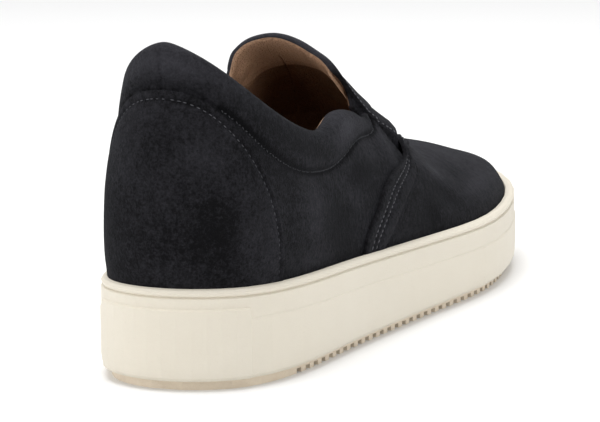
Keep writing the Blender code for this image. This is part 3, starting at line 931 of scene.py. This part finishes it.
liningSizes = {
    "thickness": 0.0006,
    "rollStart": 108.0,  # degrees over the collar's edge, a little under the suede's own roll
    "rollTurn": 5.0,
    "dropTurn": 5.02,  # where its edge falls behind the quarter's front
    "dropReach": 0.14,
    "throatUp": 0.49,
    "apart": 0.0002,
    "tuck": 0.0004,
    "rimLight": 0.55,
    "rimFrom": 0.024,
    "rimReach": 0.016,
}
liningFolds = table(foldColumns, [
    (13.60, 0.95, 13.10, 0.60, 4.0, -0.9),
    (14.20, 0.90, 13.90, 0.60, 3.5, 0.8),
    (15.20, 0.92, 15.00, 0.55, 5.0, -0.9),
    (16.40, 0.90, 15.80, 0.60, 4.0, 0.8),
    (17.30, 0.86, 17.10, 0.50, 5.0, -0.7),
    (3.20, 0.80, 3.40, 0.40, 5.0, -0.7),
    (2.20, 0.85, 2.30, 0.45, 5.0, 0.7),
])


def liningEdge(turn):
    drop = ease((nearSide(turn) - liningSizes["dropTurn"]) / liningSizes["dropReach"])
    return openingUp(turn) + (liningSizes["throatUp"] - openingUp(turn)) * drop


def liningSurface(across, along):
    turn = np.interp(across, [0, 0.26, 0.29, 0.71, 0.74, 1.0], [0, 4.98, 5.20, 14.80, 15.02, 20.0])
    bands = np.interp(along, [0.0, 0.10, 0.80, 1.0], [0.0, 1.0, 2.0, 3.0])  # foot, side, roll
    up = liningEdge(turn) * (np.clip(bands - 1, 0, 1) * quarters["collarShare"])
    base = lastPoint(turn, up)
    lift = innerLift(turn, up) - foldRelief(base, liningFolds) + throatDip(base) - liningSizes["apart"]
    inside = onLast(turn, up, lift)
    footXY = outlineAt(turn, featherInset + shoe["wall"])
    floor = soleSpring(footXY[:, 1]) + shoe["outsole"] + shoe["cupFloor"] + 3 * shoe["gap"]
    inside += (np.c_[footXY, floor] - inside) * np.clip(1 - bands, 0, 1)[:, None]
    angle = np.pi + (np.radians(liningSizes["rollStart"]) - np.pi) * np.clip(bands - 2, 0, 1)
    onRoll = ((bands > 2) & (nearSide(turn) <= liningSizes["rollTurn"]))[:, None]
    inside = np.where(onRoll, collarRoll(turn, angle), inside)
    facing = lastNormal(turn, up) * np.cos(angle)[:, None] + collarRising(turn) * np.sin(angle)[:, None]
    inside -= facing * (liningSizes["tuck"] * ease(bands - 2.5))[:, None]
    return inside, inside - facing * liningSizes["thickness"]


# Where the lining catches the light, is worn or stays in shade
liningMarks = table(markColumns, [
    (13.10, 0.91, 0.75, 0.12, 0.46),
    (13.20, 0.82, 0.60, 0.08, 0.25),
    (14.80, 0.85, 1.00, 0.20, 0.30),
    (11.00, 0.93, 0.90, 0.08, -0.10),
    (8.80, 0.90, 1.20, 0.08, 0.05),
    (11.30, 0.72, 0.90, 0.08, -0.20),
    (3.00, 0.60, 2.00, 0.30, -0.15),
])


def liningRim(turn, up):  # lighter along its top edge
    share = (up - openingUp(turn) + liningSizes["rimFrom"]) / liningSizes["rimReach"]
    return liningSizes["rimLight"] * ease(share)


liningMesh = markedAndLit(sheetMesh(330, 60, liningSurface, closed=True), marks=liningMarks, rim=liningRim)
liningPiece = finishPiece("collar_lining", liningMesh, [lining])
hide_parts("upper")


# Tongue: padded, with a gusset strip along each side under the quarter's front edge

tongueSizes = {
    "thickness": 0.0032,
    "raise": 0.0008,
    "gussetTurn": 5.80,
    "gussetSeam": 5.95,
    "gussetSeamDepth": 0.0004,
    "stitchTurn": 5.98,
    "padUp": 0.70,
    "padPuff": 0.0004,
    "padSeamDepth": 0.0006,
    "footUp": 0.495,
    "footTurn": 4.82,
    "turnIn": 0.45,  # how much narrower its top is, in stations a side
}
tongueSwell = table("up millimetres", [
    (0.548, 0.0),
    (0.562, 0.6),
    (0.585, 2.2),
    (0.620, 2.3),
    (0.680, 1.1),
    (0.760, 0.2),
    (0.900, 0.4),
    (1.000, 0.9),
])
liningSeam = {"turn": 10.75, "up": 0.90, "slant": 2.1, "top": 0.92, "depth": 0.0005, "width": 0.040}
# Painted shade in the lining's seam and wrinkles, and a lighter top edge on the suede
tongueShade = {
    "edge": 0.5,
    "edgeFrom": 0.978,
    "edgeReach": 0.015,
    "seam": -0.25,
    "seamWidth": 0.045,
    "fold": -250,
    "innerDepth": 0.0041,  # below the last's surface, where the lining's own marks start
}

# Wrinkles of the tongue's lining
tongueFolds = table(foldColumns, [
    (14.10, 0.955, 12.30, 0.935, 1.8, -0.40),
    (14.10, 0.905, 12.10, 0.890, 1.6, 0.45),
    (14.10, 0.865, 12.40, 0.850, 1.6, -0.40),
    (13.80, 0.815, 12.20, 0.800, 2.0, 0.40),
    (13.40, 0.770, 12.00, 0.740, 2.2, -0.40),
    (10.40, 0.800, 9.30, 0.780, 3.0, -0.50),
    (9.90, 0.740, 8.90, 0.700, 3.0, 0.50),
])


def tongueLift(turn, up):  # lifts of the outer and of the inner face
    near = nearSide(turn)
    centre = ease((near - tongueSizes["gussetTurn"]) / 0.12 + 0.5)
    puff = ease((up - tongueSizes["padUp"]) / 0.05 + 0.5)
    topEdge = arcRise((1 - up) / 0.03)
    swell = np.interp(up, tongueSwell["up"], tongueSwell["millimetres"]) / 1000 * ease((near - 5.54) / 0.4)
    rest = swell - (shoe["wall"] + shoe["gap"])
    lift = rest + tongueSizes["raise"] * (centre - 1) + tongueSizes["padPuff"] * centre * puff * topEdge
    lift -= tongueSizes["padSeamDepth"] * bell((up - tongueSizes["padUp"]) / 0.008) * centre
    lift -= tongueSizes["gussetSeamDepth"] * bell((near - tongueSizes["gussetSeam"]) / 0.03)
    lift -= tongueSizes["thickness"] * 0.35 * (1 - topEdge)
    return lift, rest - tongueSizes["thickness"] * (1 - 0.30 * (1 - topEdge))


def tongueSeam(turn, up, width):  # slanting seam of the tongue's lining
    away = turn - liningSeam["turn"] - (liningSeam["up"] - up) * liningSeam["slant"]
    return bell(away / width) * ease((liningSeam["top"] - up) / 0.03)


def tongueSurface(across, along):
    sideTurn = tongueSizes["footTurn"] + tongueSizes["turnIn"] * ease(along)
    turn = sideTurn + across * (stationCount - 2 * sideTurn)
    up = tongueSizes["footUp"] + (1 - tongueSizes["footUp"]) * along
    lift, inner = tongueLift(turn, up)
    inner += foldRelief(lastPoint(turn, up), tongueFolds)
    inner += liningSeam["depth"] * tongueSeam(turn, up, liningSeam["width"])
    return onLast(turn, up, lift), onLast(turn, up, inner)


def tongueTones(points):  # suede outside with a lighter top edge, lining inside with wear, painted highlights and painted shade
    turn, up = nearestShare(points)
    depth = ((lastPoint(turn, up) - points) * lastNormal(turn, up)).sum(axis=1)
    outside = markTone(napAndLightMarks, turn, up)
    outside += tongueShade["edge"] * ease((up - tongueShade["edgeFrom"]) / tongueShade["edgeReach"])
    inside = markTone(liningMarks, turn, up) + liningRim(turn, up)
    inside += tongueShade["seam"] * tongueSeam(turn, up, tongueShade["seamWidth"])
    inside += tongueShade["fold"] * foldRelief(points, tongueFolds)
    return np.where(depth > tongueShade["innerDepth"], inside, outside)


tongueMesh = sheetMesh(220, 76, tongueSurface, lined=True)
layMarks(tongueMesh, tongueTones(np.array([vertex.co[:] for vertex in tongueMesh.verts])))
tonguePiece = finishPiece("padded_tongue", tongueMesh, [suede, lining], sharp=70)
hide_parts("tongue")
print("tongue done")


# Heel counter: arched suede panel with one seam inside its edge

counter = {
    "thickness": 0.0012,
    "lift": 0.0005,
    "turn": 1.77,
    "up": 0.835,
    "fullness": 2.9,
    "seamInset": 0.0030,
    "seamDepth": 0.0005,
    "seamWidth": 0.0009,
    "edgeRound": 0.0005,
    "foot": -0.02,
    "stationLength": 0.033,  # metres along the heel for one station
    "shareLength": 0.078,  # metres up the heel for the whole way up
}


def counterArch(inset):  # the panel's edge from rim to rim, moved in
    angle = np.radians(np.linspace(0.5, 179.5, 240))
    power = 2 / counter["fullness"]
    reach = counter["turn"] - inset / counter["stationLength"]
    turn = reach * np.abs(np.cos(angle)) ** power * np.sign(np.cos(angle))
    up = (counter["up"] - inset / counter["shareLength"]) * np.sin(angle) ** power
    return np.c_[turn, up]


counterSeam = counterArch(counter["seamInset"])


def counterRelief(turn, up):
    return puffLift(turn, up) + foldRelief(lastPoint(turn, up), counterFolds)


def counterSurface(across, along):
    angle = np.radians(np.interp(along, [0, 0.7, 1.0], [0.1, 66.0, 84.0]))
    power = 2 / counter["fullness"]
    side = across * 2 - 1
    turn = counter["turn"] * np.cos(angle) ** power * side
    up = np.where(along < 1e-4, counter["foot"], counter["up"] * np.sin(angle) ** power)
    lift = counter["lift"] + counter["thickness"] + counterRelief(turn, up)
    lift -= counter["seamDepth"] * nearness(lastPoint(turn, up), counterSeam, counter["seamWidth"])
    edge = np.minimum(1 - np.abs(side), (1 - along) * 1.2) / 0.02
    lift -= counter["edgeRound"] * (1 - arcRise(edge))
    under = counter["lift"] * 0.4 + puffLift(turn, up)
    return onLast(turn, up, lift), onLast(turn, up, under)


counterMesh = markedAndLit(sheetMesh(170, 100, counterSurface), counterFolds, (counterSeam,))
counterPiece = finishPiece("suede_heel_counter", counterMesh, [suedeCounter])
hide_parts("heel_counter")


# Vamp band: a strip over the joint of quarters and vamp

bandSizes = {
    "thickness": 0.0012,
    "lift": 0.0005,
    "rows": (0.27, 0.46),  # stitch rows as shares of its width
    "frontRow": 0.90,
    "rowDepth": 0.0004,
    "puff": 0.0003,
    "foot": -0.02,
    "sink": 0.0006,  # into the throat, from a station on
    "sinkTurn": 5.2,
    "stitchLift": 0.0013,
    "frontStitchLift": 0.0012,
}
bandRows = np.c_[tuple(bandEdges.values())]
bandKnots = np.arange(len(bandRows), dtype=float)


def bandLine(share):  # path along the band at a share of its width
    rows = bandRows[:, :2] * (1 - share) + bandRows[:, 2:] * share
    return naturalCurve(bandKnots, rows, np.linspace(0, bandKnots[-1], 200))


def bandRest(turn, up):  # what the band lies on
    base = lastPoint(turn, up)
    rest = np.maximum(foldRelief(base, quarterFolds), foldRelief(base, vampFolds)) * 0.6 + throatDip(base)
    return rest - bandSizes["sink"] * ease(nearSide(turn) - bandSizes["sinkTurn"])


def bandSurface(across, along):
    place = (1 - np.abs(across * 2 - 1)) * bandKnots[-1]
    edges = naturalCurve(bandKnots, bandRows, place)
    turn, up = edges[:, :2].T * (1 - along) + edges[:, 2:].T * along
    up = np.where(place < 0.02, bandSizes["foot"], up)
    turn = np.where(across > 0.5, stationCount - turn, turn)
    rest = bandRest(turn, up)
    rounded = arcRise(np.minimum(along, 1 - along) / 0.08)
    lift = rest + bandSizes["lift"] + bandSizes["thickness"] * (0.6 + 0.4 * rounded)
    for row in (*bandSizes["rows"], bandSizes["frontRow"]):
        lift -= bandSizes["rowDepth"] * bell((along - row) / 0.05)
    lift += bandSizes["puff"] * bell((along - 0.68) / 0.15)
    return onLast(turn, up, lift), onLast(turn, up, rest + 0.0002)


bandPiece = finishPiece("suede_vamp_band", markedAndLit(sheetMesh(420, 26, bandSurface)), [suede])
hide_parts("vamp_band")
print("upper done")


# Stitches

threads = {
    "band": {"pitch": 0.0023, "length": 0.0015, "radius": 0.00024},
    "edge": {"pitch": 0.0022, "length": 0.0014, "radius": 0.00018},
    "pad": {"pitch": 0.0017, "length": 0.0014, "radius": 0.00018, "zigzag": 0.55},
}
for number, share in enumerate(bandSizes["rows"]):
    row = sewn(f"band_stitches_{number + 1}", bandLine(share), bandSizes["stitchLift"], threads["band"],
               thread, bandRest)
row = sewn("band_edge_stitches", bandLine(bandSizes["frontRow"]), bandSizes["frontStitchLift"],
           threads["edge"], darkThread, bandRest)
row = sewn("counter_stitches", counterSeam, counter["lift"] + counter["thickness"] - counter["seamDepth"],
           threads["edge"], darkThread, counterRelief, mirrored=False)
row = sewn("collar_stitches", padPath, 0.0001 - quarters["seamDepth"], threads["pad"], darkThread,
           collarRelief)
gussetPath = np.c_[np.full(80, tongueSizes["stitchTurn"]), np.linspace(0.60, 0.95, 80)]
row = sewn("tongue_stitches", gussetPath, 0.0002, threads["edge"], thread,
           lambda turn, up: tongueLift(turn, up)[0])
print("stitches done")


# Footbed: leather over foam, cupped a little at the edge

footbed = {"inset": 0.0071, "thickness": 0.0042, "cup": 0.0010}


def footbedSurface(across, along):
    edge = outlineAt(np.linspace(0, stationCount, 1600), footbed["inset"])
    outerSide, innerSide = edge[:800], edge[:799:-1]
    back, front = edge[:, 1].min(), edge[:, 1].max()
    y = back + (front - back) * (1 - np.cos(np.pi * np.clip(along, 0.004, 0.996))) / 2
    left = np.interp(y, outerSide[:, 1], outerSide[:, 0])
    right = np.interp(y, innerSide[:, 1], innerSide[:, 0])
    x = right + (left - right) * (1 - np.cos(np.pi * across)) / 2
    bottom = soleSpring(y) + shoe["outsole"] + shoe["cupFloor"] + 2 * shoe["gap"]
    rim = np.minimum(across, 1 - across) * 2
    top = bottom + footbed["thickness"] * (0.75 + 0.25 * arcRise(rim / 0.06))
    top += footbed["cup"] * (1 - ease(rim / 0.5)) * np.clip(rim / 0.06, 0, 1)
    return np.c_[x, y, top], np.c_[x, y, bottom]


footbedPiece = finishPiece("leather_footbed", sheetMesh(60, 130, footbedSurface), [footbedLeather], sharp=70)
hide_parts("insole")

for name, material in (("midsole", midsoleRubber), ("outsole", outsoleRubber)):
    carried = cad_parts[name]
    carried.data.materials.clear()
    carried.data.materials.append(material)
print("sole dressed")


# Floor, light and camera

studio = {
    "floor": (0.90, 0.90, 0.90, 1),
    "world": 0.64,
    "sensor": 36.0,  # millimetres for the whole width of the picture
    "pictureWidth": 600,
}


def addFloor():
    mesh = bmesh.new()
    bmesh.ops.create_grid(mesh, x_segments=8, y_segments=8, size=6.0)
    material = bpy.data.materials.new("pale floor")
    material.use_nodes = True
    shader = material.node_tree.nodes["Principled BSDF"]
    shader.inputs["Base Color"].default_value = studio["floor"]
    shader.inputs["Roughness"].default_value = 0.9
    shader.inputs["Specular IOR Level"].default_value = 0.1
    floor = toObject("floor", mesh, [material])


def addLight(name, place, target, size, power):
    light = bpy.data.lights.new(name, "AREA")
    light.shape = "DISK"
    light.size = size
    light.energy = power
    item = bpy.data.objects.new(name, light)
    item.location = place
    item.rotation_euler = (Vector(target) - Vector(place)).to_track_quat("-Z", "Y").to_euler()
    bpy.context.scene.collection.objects.link(item)


def addCamera(azimuth, elevation, roll, place, pixels):  # focal length as pixels of the picture
    azimuth, elevation, roll = np.radians([azimuth, elevation, roll])
    level = np.cos(elevation)
    ahead = Vector((-np.sin(azimuth) * level, np.cos(azimuth) * level, -np.sin(elevation)))
    right = ahead.cross(Vector((0, 0, 1))).normalized()
    above = right.cross(ahead)
    turnedRight = right * np.cos(roll) + above * np.sin(roll)
    turnedAbove = above * np.cos(roll) - right * np.sin(roll)
    pose = Matrix((turnedRight, turnedAbove, -ahead)).transposed().to_4x4()
    pose.translation = Vector(place)
    lens = bpy.data.cameras.new("camera")
    lens.sensor_width = studio["sensor"]
    lens.lens = studio["sensor"] * pixels / studio["pictureWidth"]
    lens.clip_start = 0.05
    lens.clip_end = 50.0
    camera = bpy.data.objects.new("camera", lens)
    camera.matrix_world = pose
    bpy.context.scene.collection.objects.link(camera)
    bpy.context.scene.camera = camera


addFloor()
addLight("overhead", (-0.15, 0.05, 1.30), (0, 0, 0.03), 1.2, 15.0)
addLight("front left", (-0.75, -1.05, 0.55), (0, 0, 0.04), 0.8, 4.8)
addLight("right", (1.20, -0.20, 0.60), (0, 0, 0.04), 0.9, 3.2)
world = bpy.data.worlds.new("studio")
world.use_nodes = True
world.node_tree.nodes["Background"].inputs["Color"].default_value = (1, 1, 1, 1)
world.node_tree.nodes["Background"].inputs["Strength"].default_value = studio["world"]
bpy.context.scene.world = world
bpy.context.scene.view_settings.view_transform = "Standard"
addCamera(20.2780, 9.6503, -0.6018, (0.4114134, -1.1318491, 0.2393968), 3380.0)
print("stage done")
